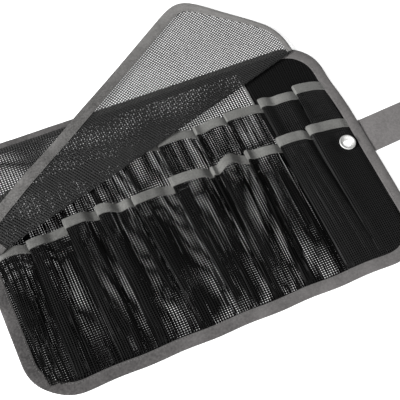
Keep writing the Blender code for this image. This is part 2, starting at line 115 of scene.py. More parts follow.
def curve_through(points, x):
    """The height at x of a smooth curve through (x, height) points."""
    xs = [p[0] for p in points]
    i = min(max(bisect_right(xs, x) - 1, 0), len(points) - 2)
    before, after = points[max(i - 1, 0)], points[min(i + 2, len(points) - 1)]
    (x0, z0), (x1, z1) = points[i], points[i + 1]
    span = x1 - x0
    slope0 = (z1 - before[1]) / (x1 - before[0])
    slope1 = (after[1] - z0) / (after[0] - x0)
    t = min(max((x - x0) / span, 0.0), 1.0)
    start = (2 * t**3 - 3 * t**2 + 1) * z0 + (t**3 - 2 * t**2 + t) * span * slope0
    return start + (3 * t**2 - 2 * t**3) * z1 + (t**3 - t**2) * span * slope1


def inside(point, outline):
    """Whether a point lies inside a closed outline, seen from above."""
    crossed = False
    for a, b in zip(outline, outline[1:] + outline[:1]):
        if (a.y > point.y) != (b.y > point.y):
            if point.x < a.x + (point.y - a.y) * (b.x - a.x) / (b.y - a.y):
                crossed = not crossed
    return crossed


# %% [markdown]
# A real wrap is never a perfect rectangle: the right edge pulls in by a few millimetres
# below the back corner, and the front edge is a little wavy. All edge pieces share this.

# %% The panel's outline
BOW_AT = BACK - 0.062
BOW_LENGTH = 0.034
BOW = 0.0045
BOW_REACH = 0.090
BOW_FADE = 0.060
WAVE = 0.0006
WAVE_REACH = 0.030
WAVE_FADE = 0.015
OUTLINE_STEP = 0.006


def bowed(point):
    pull = BOW * math.exp(-(((point.y - BOW_AT) / BOW_LENGTH) ** 2))
    share = smooth((point.x - RIGHT + BOW_REACH) / BOW_FADE)
    at_front = smooth((FRONT + WAVE_REACH - point.y) / WAVE_FADE)
    wave = WAVE * (1 + math.sin(76 * point.x + 1.5)) * at_front
    return Vector((point.x - pull * share, point.y + wave, point.z))


def panel_outline(inset, steps=15, height=0.0):
    """The panel's outline, moved inwards, with the same number of points each time."""
    radius = CORNER - inset
    centres = (
        (RIGHT - CORNER, FRONT + CORNER, -90),
        (RIGHT - CORNER, BACK - CORNER, 0),
        (LEFT + CORNER, BACK - CORNER, 90),
        (LEFT + CORNER, FRONT + CORNER, 180),
    )
    corners = []
    for x, y, start in centres:
        turns = [math.radians(start + 90 * step / (steps - 1)) for step in range(steps)]
        centre = Vector((x, y, height))
        corners.append([centre + radius * Vector((math.cos(a), math.sin(a), 0)) for a in turns])
    points = []
    for i, corner in enumerate(corners):
        following = corners[(i + 1) % 4][0]
        length = (following - corner[-1]).length
        between = max(2, round(length / OUTLINE_STEP))
        points += corner
        points += [corner[-1].lerp(following, step / between) for step in range(1, between)]
    return [bowed(point) for point in points]


print("outline points:", len(panel_outline(0)))

# %% [markdown]
# Every cloth starts as a flat grid that is exactly as large as its cut, so its own plane
# is the pattern paper. The flat places are kept as UVs in metres for the weave, and a
# function of each cloth then lays every point where the sewn piece has it.

# %% Flat cloth, laid and finished
def flat_cloth(width, length, across, along):
    bm = bmesh.new()
    bmesh.ops.create_grid(bm, x_segments=across, y_segments=along, size=0.5)
    bmesh.ops.scale(bm, vec=(width, length, 1), verts=bm.verts)
    bmesh.ops.translate(bm, vec=(width / 2, length / 2, 0), verts=bm.verts)
    weave = bm.loops.layers.uv.new("weave")
    for face in bm.faces:
        for loop in face.loops:
            loop[weave].uv = loop.vert.co.xy
    return bm


def trimmed(bm, keep):
    outside = [face for face in bm.faces if not keep(face.calc_center_median())]
    bmesh.ops.delete(bm, geom=outside, context="FACES")


def piece(name, bm, finish, angle):
    """A mesh as a piece of the wrap, shaded smooth but for edges over the angle."""
    mesh = bpy.data.meshes.new(name)
    bm.to_mesh(mesh)
    bm.free()
    mesh.materials.append(finish)
    mesh.shade_smooth()
    mesh.set_sharp_from_angle(angle=math.radians(angle))
    obj = bpy.data.objects.new(name, mesh)
    scene.collection.objects.link(obj)
    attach(obj, "root")
    print(f"{name}: {len(mesh.polygons)} faces")
    return obj


def wall(obj, thickness):
    """A thin cloth gets its thickness, half to each side."""
    solid = obj.modifiers.new("cloth", "SOLIDIFY")
    solid.thickness = thickness
    solid.offset = 0


# %% [markdown]
# ## Finishes
# The net is polyester yarn with a black coating: dark, half glossy and a little uneven.
# The coating is one Principled shader, with a fine noise as its bump. Layers that lie
# under others get hardly any light, so their coating is darker, as painted shade. The flap
# lies open to the light, and the yarns at the end stand out from the black cloth: their
# coating is paler, as painted light.

# %% Coated net and black cloth
def new_finish(name, colour, roughness, specular, metallic=0.0):
    made = bpy.data.materials.new(name)
    made.use_nodes = True
    tree = made.node_tree
    shader = tree.nodes["Principled BSDF"]
    shader.inputs["Base Color"].default_value = (*colour, 1)
    shader.inputs["Roughness"].default_value = roughness
    shader.inputs["Specular IOR Level"].default_value = specular
    shader.inputs["Metallic"].default_value = metallic
    return made, tree, shader


def grain(tree, scale, source):
    """A noise at a given scale, read from the piece's own coordinates."""
    noise = tree.nodes.new("ShaderNodeTexNoise")
    noise.inputs["Scale"].default_value = scale
    noise.inputs["Detail"].default_value = 3
    tree.links.new(source.outputs["Object"], noise.inputs["Vector"])
    return noise


def ribs(tree, source, pitch, direction):
    """Parallel ribs with a pitch in metres, read from the cloth's UVs."""
    wave = tree.nodes.new("ShaderNodeTexWave")
    wave.bands_direction = direction
    wave.inputs["Scale"].default_value = math.pi / (10 * pitch)
    wave.inputs["Distortion"].default_value = 0.35
    wave.inputs["Detail"].default_value = 1
    tree.links.new(source.outputs["UV"], wave.inputs["Vector"])
    return wave


def relief(tree, shader, height, distance, strength):
    bump = tree.nodes.new("ShaderNodeBump")
    bump.inputs["Distance"].default_value = distance
    bump.inputs["Strength"].default_value = strength
    tree.links.new(height, bump.inputs["Height"])
    tree.links.new(bump.outputs["Normal"], shader.inputs["Normal"])


def tinted(tree, shader, share, dark, light):
    """The colour goes from dark to light as share goes from 0 to 1."""
    mix = tree.nodes.new("ShaderNodeMix")
    mix.data_type = "RGBA"
    mix.inputs["A"].default_value = (*dark, 1)
    mix.inputs["B"].default_value = (*light, 1)
    tree.links.new(share, mix.inputs["Factor"])
    tree.links.new(mix.outputs["Result"], shader.inputs["Base Color"])


def product(tree, a, b):
    times = tree.nodes.new("ShaderNodeMath")
    times.operation = "MULTIPLY"
    tree.links.new(a, times.inputs[0])
    tree.links.new(b, times.inputs[1])
    return times.outputs["Value"]


def coated(name, light, specular):
    made, tree, shader = new_finish(name, (light, light, light), 0.5, specular)
    coating = grain(tree, 700, tree.nodes.new("ShaderNodeTexCoord"))
    dark = 0.2 * light
    share = coating.outputs["Fac"]
    tinted(tree, shader, share, (dark, dark, dark), (light, light, light))
    relief(tree, shader, share, distance=0.0002, strength=0.5)
    return made


BLACK_NET = coated("black_net", 0.0062, 0.04)
# The flap's coating is a paler copy, as painted light.
LIT_FLAP_NET = coated("flap_net", 0.034, 0.08)
# The two coatings for the yarns at the end are paler copies, as painted light.
LIT_END_NET = coated("end_net", 0.016, 0.06)
LIT_CORNER_NET = coated("lit_corner_net", 0.008, 0.05)
# The coating for covered layers is a darker copy, as painted shade.
SHADED_UNDER_NET = coated("shaded_under_net", 0.0006, 0.01)

# The black cloth at the end is a dense weave: ribs one way, crossed by finer ones.
BLACK_CLOTH, tree, shader = new_finish("black_cloth", (0.004, 0.004, 0.004), 0.7, 0.12)
place_of = tree.nodes.new("ShaderNodeTexCoord")
warp = ribs(tree, place_of, pitch=0.0022, direction="X")
weft = ribs(tree, place_of, pitch=0.0016, direction="Y")
weave = product(tree, warp.outputs["Fac"], weft.outputs["Fac"])
tinted(tree, shader, weave, (0.0005, 0.0005, 0.0005), (0.005, 0.005, 0.005))
relief(tree, shader, weave, distance=0.0006, strength=1.0)
print("finishes so far:", len(bpy.data.materials))

# %% [markdown]
# Binding tape is a narrow grosgrain: fine ribs across its length. The grey of the real
# tape is cloudy, so a slow noise shifts its tone by a few per cent, and a fine one mottles
# it. The tapes are painted paler to the right, as painted light; those of the pockets are
# a shade greener, and the strap is a coarser webbing.

# %% Grey tape, webbing, thread and plated steel
def weighted(tree, parts, start):
    """A start value plus each part times its weight."""
    total = None
    for part, weight in parts:
        step = tree.nodes.new("ShaderNodeMath")
        step.operation = "MULTIPLY_ADD"
        tree.links.new(part, step.inputs[0])
        step.inputs[1].default_value = weight
        step.inputs[2].default_value = start
        if total is not None:
            tree.links.new(total, step.inputs[2])
        total = step.outputs["Value"]
    return total


def painted_light_to_the_right(tree, source, reach, shares):
    """A share that grows with the place along X, over the reach given in metres: the
    painted light that makes a tape paler to the right.
    """
    apart = tree.nodes.new("ShaderNodeSeparateXYZ")
    tree.links.new(source.outputs["Object"], apart.inputs["Vector"])
    ramp = tree.nodes.new("ShaderNodeMapRange")
    ramp.inputs["From Min"].default_value = reach[0]
    ramp.inputs["From Max"].default_value = reach[1]
    ramp.inputs["To Min"].default_value = shares[0]
    ramp.inputs["To Max"].default_value = shares[1]
    tree.links.new(apart.outputs["X"], ramp.inputs["Value"])
    return ramp.outputs["Result"]


FINE_RIB = (0.0011, 0.0003)
COARSE_RIB = (0.0016, 0.0004)
EVEN = (0.5, 0.5)


def grey_tape(name, dark, light, rib, reach=(-1.0, 1.0), shares=EVEN):
    """A ribbed tape; a rib is its pitch and height, and an even one has more contrast."""
    made, tree, shader = new_finish(name, light, roughness=0.88, specular=0.2)
    pitch, height = rib
    place_of = tree.nodes.new("ShaderNodeTexCoord")
    cloud = grain(tree, 45, place_of)
    across = ribs(tree, place_of, pitch, "X")
    fuzz = grain(tree, 420, place_of)
    # Painted light: the tone grows paler to the right.
    pale = painted_light_to_the_right(tree, place_of, reach, shares)
    strength = 1.0 if shares == EVEN else 0.45
    parts = (
        (across.outputs["Fac"], 0.3 * strength),
        (cloud.outputs["Fac"], 0.9 * strength),
        (fuzz.outputs["Fac"], 1.4 * strength),
        (pale, 1.0),
    )
    tinted(tree, shader, weighted(tree, parts, -1.30 * strength), dark, light)
    rough = product(tree, across.outputs["Fac"], fuzz.outputs["Fac"])
    relief(tree, shader, rough, height, 0.6)
    shader.inputs["Sheen Weight"].default_value = 0.1
    return made


# The reach and shares paint these three tapes paler to the right, as painted light; the webbing
# is even.
EDGE_TAPE = grey_tape(
    "edge_tape",
    (0.018, 0.017, 0.017),
    (0.152, 0.145, 0.143),
    FINE_RIB,
    reach=(-0.26, 0.12),
    shares=(0.15, 0.60),
)
FLAP_TAPE = grey_tape(
    "flap_tape",
    (0.030, 0.029, 0.028),
    (0.250, 0.244, 0.238),
    FINE_RIB,
    reach=(-0.02, 0.14),
    shares=(0.20, 0.60),
)
POCKET_TAPE = grey_tape(
    "pocket_tape",
    (0.045, 0.045, 0.043),
    (0.165, 0.165, 0.157),
    FINE_RIB,
    reach=(-0.15, 0.20),
    shares=(0.26, 0.64),
)
WEBBING = grey_tape("webbing", (0.100, 0.095, 0.094), (0.165, 0.157, 0.156), COARSE_RIB)
THREAD, tree, shader = new_finish("thread", (0.10, 0.098, 0.096), 0.7, 0.2)
twist = grain(tree, 1500, tree.nodes.new("ShaderNodeTexCoord"))
relief(tree, shader, twist.outputs["Fac"], distance=0.0001, strength=0.5)
SELVAGE = new_finish("selvage", (0.12, 0.12, 0.117), 0.8, 0.2)[0]
PLATED = new_finish("plated_steel", (0.56, 0.56, 0.55), 0.55, 0.5, metallic=0.7)[0]
print("finishes:", len(bpy.data.materials))

# %% [markdown]
# ## The net
# A coated net is a regular lattice of round yarns. It could be a picture with holes, but
# real yarns let the pale ground shine through one, two or three layers, with the streaks
# that such layers make together. Each hole is a face of the flat grid, inset, pushed down
# so that every yarn has a ridge, and then taken out. The yarns across a cloth are finer
# than those along it, so the grid is stretched meanwhile.

# %% Net from a flat grid
HOLE_ACROSS = 0.0034
HOLE_ALONG = 0.0029
FLAP_YARN = 0.00148
PANEL_YARN = 0.00176
END_YARN = 0.00142
REAR_YARN = 0.00130
FRONT_YARN = 0.00148
FINER = 1.18
YARN_DEPTH = 0.00055
DRIFT_ASIDE = 0.0009
DRIFT_ALONG = 0.6 * DRIFT_ASIDE


def drifted(flat, phase, place):
    """A net is never quite square: its yarns wander a little, each cloth in its own way."""
    aside = math.sin(flat.x * 61 + flat.y * 7 + phase)
    along = math.sin(flat.y * 19 + flat.x * 11 + 2 * phase)
    spot = place(Vector((flat.x + DRIFT_ASIDE * aside, flat.y, flat.z)))
    return spot + Vector((0, DRIFT_ALONG * along, 0))


def cells(size, pitch):
    return max(1, round(size / pitch))


def net(name, width, length, place, keep, yarn, phase, finish, across=None):
    """A net of yarns, laid by place; across sets its number of holes from side to side."""
    across = across or cells(width, HOLE_ACROSS)
    bm = flat_cloth(width, length, across, cells(length, HOLE_ALONG))
    trimmed(bm, keep)
    holes = bm.faces[:]
    bmesh.ops.scale(bm, vec=(1, FINER, 1), verts=bm.verts)
    bmesh.ops.inset_individual(
        bm, faces=holes, thickness=yarn / 2, depth=-YARN_DEPTH, use_even_offset=True
    )
    bmesh.ops.delete(bm, geom=holes, context="FACES")
    bmesh.ops.scale(bm, vec=(1, 1 / FINER, 1), verts=bm.verts)
    for vert in bm.verts:
        vert.co = drifted(vert.co, phase, place)
    return piece(name, bm, finish, angle=60)


# %% [markdown]
# The panel's net lies flat from the left end to the seam with the black cloth. Its edge
# is cut under the binding.

# %% Panel net and end cloth
UNDER_TAPE = BINDING / 2
NET_HEIGHT = 0.0011
CLOTH_HEIGHT = 0.0008
CLOTH_THICKNESS = 0.0006
END_NET_HEIGHT = 0.0018
RIM = panel_outline(UNDER_TAPE)
NET_WIDTH = SEAM - LEFT


def on_panel(flat):
    return Vector((LEFT + flat.x, FRONT + flat.y, NET_HEIGHT + flat.z))


# The panel's net lies under the other layers: its coating is the darkest, as painted shade.
panel_net = net(
    "panel_net",
    NET_WIDTH,
    DEPTH,
    on_panel,
    lambda middle: inside(on_panel(middle), RIM),
    PANEL_YARN,
    0.0,
    SHADED_UNDER_NET,
)
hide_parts("back_panel")

CLOTH_CELL = 0.004
END_WIDTH = RIGHT - SEAM
EYELET_HOLE = 0.0086


def in_sight(spot):
    """Whether a spot lies inside the binding's edge and beside the eyelet's hole."""
    return inside(spot, RIM) and (spot.xy - EYELET.xy).length > EYELET_HOLE


def on_end(flat, height=CLOTH_HEIGHT):
    return bowed(Vector((SEAM + flat.x, FRONT + flat.y, height + flat.z)))


def on_end_net(flat):
    return on_end(flat, END_NET_HEIGHT)


end_bm = flat_cloth(END_WIDTH, DEPTH, cells(END_WIDTH, CLOTH_CELL), cells(DEPTH, CLOTH_CELL))
trimmed(end_bm, lambda middle: in_sight(on_end(middle)))
for vert in end_bm.verts:
    vert.co = on_end(vert.co)
end_cloth = piece("end_cloth", end_bm, BLACK_CLOTH, angle=60)
wall(end_cloth, CLOTH_THICKNESS)
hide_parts("end_panel")

# The end net gets a paler coating, as painted light.
end_net = net(
    "end_net",
    END_WIDTH,
    DEPTH,
    on_end_net,
    lambda middle: in_sight(on_end_net(middle)),
    END_YARN,
    0.4,
    LIT_CORNER_NET,
)
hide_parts("end_panel")

# %% [markdown]
# ## The pleated pockets
# One long strip of net makes each row. At every seam it is folded under: it comes down
# to the panel, is stitched there, and doubles back so that the next pocket starts with an
# overlapping fold 5 mm to the left of its stitches. So a pocket has three layers beside
# its fold, and each layer shows as a darker streak. Stations tell how the pockets' sections
# change from the mouths down: how high the strip lies, how far it stands up, how thick
# the folded layers are and how far they overlap.

# %% Sections of the pockets
Station = namedtuple("Station", "y seat crown layer lap")


def station_rows(*rows):
    """Stations from rows in tenths of a millimetre."""
    return [Station(*(value / 10000 for value in row)) for row in rows]


REAR_STATIONS = station_rows(
    (2730, 17, 60, 22, 53),
    (2590, 17, 60, 21, 53),
    (2500, 17, 58, 10, 53),
    (2250, 17, 52, 8, 60),
    (2070, 17, 24, 6, 75),
    (1900, 17, 12, 4, 100),
    (1600, 17, 8, 3, 130),
    (80, 14, 4, 2, 130),
)
FRONT_STATIONS = station_rows(
    (2070, 40, 78, 22, 53),
    (1930, 40, 78, 21, 53),
    (1850, 36, 74, 10, 56),
    (1650, 32, 66, 8, 60),
    (1100, 30, 58, 7, 70),
    (600, 28, 40, 6, 80),
    (290, 26, 22, 5, 90),
    (155, 22, 10, 3, 90),
    (80, 17, 3, 2, 90),
)

LAP = 0.0053
TURN = 0.0015
FOLD_ROUND = 0.0004
SHOULDER = 0.30
FLAT_FROM = 0.88
SHAPE_AT = (0.0, 0.12, 0.30, 0.50, 0.70, 0.82, FLAT_FROM)
SECTION_STEPS = 54
STRIP_CELLS = 25
STRIP_COLUMN = 0.0840
END_SEAM = BINDING * 0.7


def station_at(stations, y):
    """The station at a distance y from the front edge, eased between those in the table."""
    if y >= stations[0].y:
        return stations[0]
    for upper, lower in zip(stations, stations[1:]):
        if y >= lower.y:
            t = smooth((y - lower.y) / (upper.y - lower.y))
            return Station(y, *(mixed(b, a, t) for a, b in zip(upper[1:], lower[1:])))
    return stations[-1]


# %% [markdown]
# Where the seams and the mouths run was read off the photo, pocket by pocket: sewing by hand
# leaves every fold a few millimetres off the regular grid. A pocket's shape is a table of
# heights from its fold to where it lies flat, in hundredths of its row's crown.

# %% Each pocket's own shape
FOOT_SHIFT = (0, -4, 3, -2, 3, 4, 1, -6, 1, -1, 0)
FRONT_MOUTH_SHIFT = (0, 2, 2, -5, -8, -4, 1, 2, -1, -6, 0)
REAR_MOUTH_SHIFT = (0, 0, 2, -2, 1, 3, 6, 2, 4, 7, 0)
MILLIMETRE = 0.001
DROP_FADE = 0.060

# The mouths' distances from the front edge in mm: at their left ends, middles, right ends
FRONT_MOUTH_AT = (
    (196, 198, 208, 210, 205, 212, 206, 211, 213, 214),
    (198, 200, 208, 205, 206, 210, 214, 207, 212, 213),
    (193, 202, 205, 205, 203, 205, 204, 206, 208, 209),
)
REAR_MOUTH_AT = (
    (270, 271, 272, 271, 273, 272, 270, 274, 277, 279),
    (272, 272, 272, 271, 273, 272, 272, 273, 274, 277),
    (268, 267, 267, 266, 268, 266, 268, 271, 273, 271),
)

FRONT_SHAPES = (
    (30, 60, 85, 80, 60, 30),
    (60, 90, 80, 10, 5, 5),
    (80, 100, 110, 100, 15, 5),
    (80, 115, 105, 30, 85, 55),
    (85, 105, 95, 80, 20, 5),
    (85, 100, 115, 110, 90, 15),
    (100, 30, 125, 125, 15, 5),
    (130, 30, 55, 85, 70, 20),
    (85, 100, 105, 95, 80, 25),
    (80, 90, 60, 40, 25, 10),
)
REAR_SHAPES = (
    (30, 60, 85, 80, 60, 30),
    (80, 110, 90, 70, 50, 20),
    (90, 100, 85, 60, 50, 20),
    (90, 110, 90, 75, 50, 20),
    (85, 95, 110, 80, 50, 25),
    (90, 100, 105, 80, 60, 30),
    (130, 50, 70, 95, 95, 50),
    (90, 100, 100, 85, 60, 25),
    (130, 100, 35, 75, 70, 30),
    (95, 90, 80, 60, 35, 15),
)

Strip = namedtuple("Strip", "name stations shapes mouths mouth_shift")
REAR = Strip("rear", REAR_STATIONS, REAR_SHAPES, REAR_MOUTH_AT, REAR_MOUTH_SHIFT)
FRONT_ROW = Strip("front", FRONT_STATIONS, FRONT_SHAPES, FRONT_MOUTH_AT, FRONT_MOUTH_SHIFT)
STRIPS = {strip.name: strip for strip in (REAR, FRONT_ROW)}


def column_x(k):
    if k == 0:
        return LEFT + END_SEAM
    if k == COLUMNS:
        return RIGHT - END_SEAM
    return LEFT + MARGIN + k * PITCH


def seam_x(strip, k, y):
    """Where seam k runs at the distance y from the front: by its foot, then by its mouth."""
    share = smooth(y / strip.stations[0].y)
    shift = mixed(FOOT_SHIFT[k], strip.mouth_shift[k], share)
    return column_x(k) + shift * MILLIMETRE


def mouth_drop(strip, k, share, y):
    """How far a mouth lies from its row's line, fading out below it."""
    line = strip.stations[0].y
    heights = [(at, row[k]) for at, row in zip((0.0, 0.5, 1.0), strip.mouths)]
    at = curve_through(heights, share) * MILLIMETRE
    return (at - line) * smooth((y - line + DROP_FADE) / DROP_FADE)


# %% [markdown]
# The strips are fuller than the panel below them, and the spare net lies in wrinkles. They
# run down the pockets, wander a little and fade out. Where a wrinkle's side is steep, the
# yarns stand close behind each other and make a dark streak; between two of them the
# paper shines through. One seeded list gives every pocket its own wrinkles, and the two
# last pockets, on the black cloth, are nearly smooth.

# %% Wrinkles
Wrinkle = namedtuple("Wrinkle", "share drift fold height half middle reach")
FULLNESS = 8 * (1.0,) + (0.45, 0.12)
CALM_LEFT = 0.06
CALM_RIGHT = 0.08
CALM_END = 0.97
CALM_AT_TAPE = 0.25
CALM_TAPE = 0.012
CALM_BELOW_TAPE = 0.030
dice = random.Random(12)


def wrinkles_for(count, fold, height, reach, low, high):
    """Wrinkles for each of the ten pockets, spread over the width of each."""
    rows = []
    for full in FULLNESS:
        row = []
        for i in range(count):
            share = (i + dice.uniform(0.15, 0.85)) / count
            row.append(
                Wrinkle(
                    share=0.08 + 0.80 * share,
                    drift=dice.uniform(-0.5, 0.5),
                    fold=dice.uniform(0.3, 1.0) * fold * full,
                    height=dice.uniform(0.4, 1.0) * height * full,
                    half=dice.uniform(0.0018, 0.0040),
                    middle=dice.uniform(low, high),
                    reach=dice.uniform(0.5, 1.2) * reach,
                )
            )
        rows.append(row)
    return rows


HIGH_WRINKLES = {
    "front": wrinkles_for(4, 0.0030, 0.0022, 0.110, 0.02, 0.17),
    "rear": wrinkles_for(2, 0.0016, 0.0010, 0.040, 0.20, 0.25),
}
LOW_WRINKLES = {
    "front": wrinkles_for(2, 0.0022, 0.0010, 0.060, 0.00, 0.06),
    "rear": wrinkles_for(2, 0.0018, 0.0004, 0.100, 0.00, 0.16),
}


def wrinkled(name, k, t, width, y):
    """How far the wrinkles push a pocket's cloth aside and up at the share t of its width.
    A strong one pushes it back over itself, as a small fold that lies to the right."""
    aside = lift = 0.0
    for wrinkle in HIGH_WRINKLES[name][k] + LOW_WRINKLES[name][k]:
        along = (y - wrinkle.middle) / wrinkle.reach
        if abs(along) > 2:
            continue
        strength = math.exp(-(along**2))
        centre = wrinkle.share + wrinkle.drift * (y - wrinkle.middle)
        u = (t - centre) * width / wrinkle.half
        if -1 < u < 1:
            aside -= strength * wrinkle.fold * math.sin(math.pi * u) * (1 - u * u)
        if -1 < u < 3:
            lift += strength * wrinkle.height * smooth((u + 1) / 2) * (1 - smooth((u - 1) / 2))
    calm = smooth(t / CALM_LEFT) * smooth((CALM_END - t) / CALM_RIGHT)
    return aside * calm, lift * calm


@lru_cache(maxsize=None)
def pocket_section(name, k, y):
    """One pocket's cloth from seam to seam, as (x, z) points with their running lengths."""
    strip = STRIPS[name]
    at = station_at(strip.stations, y)
    start, end = seam_x(strip, k, y), seam_x(strip, k + 1, y)
    shares = [share / 100 for share in strip.shapes[k]]
    heights = list(zip(SHAPE_AT, shares + [0.0]))
    points = []
    fold = start - LAP if k else start
    if k:
        under = fold + at.lap + TURN
        points += [(under, at.seat), (under + FOLD_ROUND, at.seat + at.layer / 2)]
        points += [(under, at.seat + at.layer), (fold + FOLD_ROUND, at.seat + at.layer)]
        points += [(fold, at.seat + 1.5 * at.layer)]
    spare = at.lap - LAP + TURN if k + 1 < COLUMNS else 0.0
    width = end + spare - fold
    lift = 2 * at.layer if k else 0
    below_tape = smooth((strip.stations[0].y - CALM_TAPE - y) / CALM_BELOW_TAPE)
    calm = mixed(CALM_AT_TAPE, 1.0, below_tape)
    for step in range(SECTION_STEPS + 1):
        t = step / SECTION_STEPS
        shape = curve_through(heights, t) if t < FLAT_FROM else 0.0
        low = lift * (1 - smooth(t / SHOULDER))
        full = mixed(low, max(at.crown, low), max(shape, 0.0))
        aside, wrinkle = wrinkled(name, k, t, width, y)
        x = fold + t * width + calm * aside
        full += calm * wrinkle
        points.append((x, tucked(x, y, at.seat + pressed(x, y, full))))
    lengths = [0.0]
    for a, b in zip(points, points[1:]):
        lengths.append(lengths[-1] + math.dist(a, b))
    return points, lengths


TUCK_HEIGHT = 0.0016
TUCK_UNDER = 0.003
TUCK_LENGTH = 0.012
PRESSED_ROUND = 0.014


def tucked(x, y, z):
    """Every strip goes down and under the binding at the panel's sides and front."""
    inset = min(x - LEFT, RIGHT - x, y)
    share = smooth((inset - BINDING + TUCK_UNDER) / TUCK_LENGTH)
    return mixed(min(z, TUCK_HEIGHT), z, share)


def pressed(x, y, height):
    """The eyelet presses all the layers flat round itself."""
    away = math.dist((x, FRONT + y), EYELET.xy)
    return height * smooth((away - EYELET_RADIUS) / PRESSED_ROUND)


def on_strip(name, across, y, lift):
    """Lays a flat point of a strip: across counts pockets, y runs up from the front edge."""
    strip = STRIPS[name]
    k = min(max(int(across + 1e-9), 0), COLUMNS - 1)
    share = across - k
    points, lengths = pocket_section(name, k, round(y, 6))
    target = share * lengths[-1]
    i = min(max(bisect_right(lengths, target) - 1, 0), len(points) - 2)
    (x0, z0), (x1, z1) = points[i], points[i + 1]
    length = max(lengths[i + 1] - lengths[i], 1e-9)
    t = min(max((target - lengths[i]) / length, 0.0), 1.0)
    side = (-(z1 - z0) / length, (x1 - x0) / length)
    spot = Vector((mixed(x0, x1, t), FRONT + y, mixed(z0, z1, t)))
    across_pocket = (spot.x - points[0][0]) / (points[-1][0] - points[0][0])
    spot.y += mouth_drop(strip, k, min(max(across_pocket, 0.0), 1.0), y)
    return spot + Vector((side[0], 0, side[1])) * lift


# %% [markdown]
# The two strips are cut from the same net. A strip's flat width is ten times one pocket's
# cloth, 84 mm for a finished width of 50 mm, and it ends under the binding all round. The
# rear strip runs on down behind the front one, where it lies in the dark.

# %% Rear and front strips
FOOT = 0.008
STRIP_WIDTH = COLUMNS * STRIP_COLUMN


def pocket_net(strip, name, node, yarn, phase):
    top = strip.stations[0].y
    length = top - FOOT

    def place(flat):
        return on_strip(strip.name, flat.x / STRIP_COLUMN, FOOT + flat.y, flat.z)

    made = net(
        name,
        STRIP_WIDTH,
        length,
        place,
        lambda middle: in_sight(place(middle)),
        yarn,
        phase,
        BLACK_NET,
        across=COLUMNS * STRIP_CELLS,
    )
    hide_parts(node)
    return made


rear_net = pocket_net(REAR, "rear_net", "rear_pockets", REAR_YARN, 1.3)
front_net = pocket_net(FRONT_ROW, "front_net", "front_pockets", FRONT_YARN, 2.1)


def shaded(obj, lit_end_finish, covered_below):
    """Painted light and shade: faces over the black cloth get a paler coating,
    the covered ones the darkest.
    """
    obj.data.materials.append(lit_end_finish)
    obj.data.materials.append(SHADED_UNDER_NET)
    for face in obj.data.polygons:
        if face.center.x > SEAM:
            face.material_index = 1
        if face.center.y < covered_below:
            face.material_index = 2


# Painted light and shade: yarns over the black cloth are paler, covered yarns the darkest.
shaded(end_net, LIT_CORNER_NET, FRONT + REAR_STATIONS[2].y)
shaded(rear_net, LIT_END_NET, FRONT + FRONT_STATIONS[2].y)
shaded(front_net, LIT_END_NET, FRONT)

# %% [markdown]
# ## Tapes
# A tape is a closed band swept along its edge: a function gives the ring of points at each
# place along it. The rings join to a grid, so the UVs run along the tape and round it.

# %% Swept bands
def swept(name, rings, finish, closed=False):
    """A band through rings of points; closed joins the last ring to the first."""
    count = len(rings[0])
    steps = len(rings) if closed else len(rings) - 1
    bm = bmesh.new()
    bmesh.ops.create_grid(bm, x_segments=steps, y_segments=count, size=0.5)
    weave = bm.loops.layers.uv.new("weave")
    along = [0.0]
    for a, b in zip(rings, rings[1:] + rings[:1]):
        along.append(along[-1] + (b[0] - a[0]).length)
    around = [0.0]
    for a, b in zip(rings[0], rings[0][1:] + rings[0][:1]):
        around.append(around[-1] + (b - a).length)
    for face in bm.faces:
        for loop in face.loops:
            i = round((loop.vert.co.x + 0.5) * steps)
            j = round((loop.vert.co.y + 0.5) * count)
            loop[weave].uv = (along[i], around[j])
    for vert in bm.verts:
        i = round((vert.co.x + 0.5) * steps)
        j = round((vert.co.y + 0.5) * count)
        vert.co = rings[i % len(rings)][j % count]
    bmesh.ops.remove_doubles(bm, verts=bm.verts, dist=1e-6)
    if not closed:
        ends = [edge for edge in bm.edges if edge.is_boundary]
        bmesh.ops.holes_fill(bm, edges=ends)
    bmesh.ops.recalc_face_normals(bm, faces=bm.faces)
    return piece(name, bm, finish, angle=45)


# %% [markdown]
# The binding is folded over the panel's edge: a wing below, the rounded outer side and the
# wider wing on top. A slow ripple in its height keeps it from looking moulded. Behind the
# flap's net the tape is a paler one, as painted light, so that it still shows through the
# yarns.

# %% Binding round the panel
BINDING_PROFILE = (
    (0.0095, 0.0002),
    (0.0012, 0.0002),
    (0.0003, 0.0009),
    (0.0000, 0.0018),
    (0.0004, 0.0028),
    (0.0016, 0.0034),
    (0.0070, 0.0036),
    (0.0142, 0.0034),
    (BINDING, 0.0030),
    (BINDING, 0.0024),
    (0.0140, 0.0023),
    (0.0022, 0.0022),
    (0.0022, 0.0012),
    (0.0095, 0.0010),
)
RIPPLE = 0.00025
RIPPLE_ABOVE = 0.0015
BEHIND_FLAP = (LEFT + 0.185, RIGHT - CORNER)


def edge_tape():
    lines = [panel_outline(inset) for inset, _ in BINDING_PROFILE]
    rings = []
    for i in range(len(lines[0])):
        ripple = RIPPLE * math.sin(i * 0.9) * math.sin(i * 0.37 + 1)
        ring = []
        for line, (_, height) in zip(lines, BINDING_PROFILE):
            rise = ripple if height > RIPPLE_ABOVE else 0.0
            ring.append(Vector((line[i].x, line[i].y, height + rise)))
        rings.append(ring)
    return swept("edge_tape", rings, EDGE_TAPE, closed=True)


edge = edge_tape()
# Painted light: the binding behind the flap's net gets the paler pocket tape.
edge.data.materials.append(POCKET_TAPE)
for face in edge.data.polygons:
    at_back = face.center.y > BACK - BINDING
    if at_back and BEHIND_FLAP[0] < face.center.x < BEHIND_FLAP[1]:
        face.material_index = 1
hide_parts("edge_binding")

# %% [markdown]
# The mouths' tapes were sewn on before the strips were pleated, so they are folded with
# the net: under, round the fold, up over the pocket and down to the next seam.

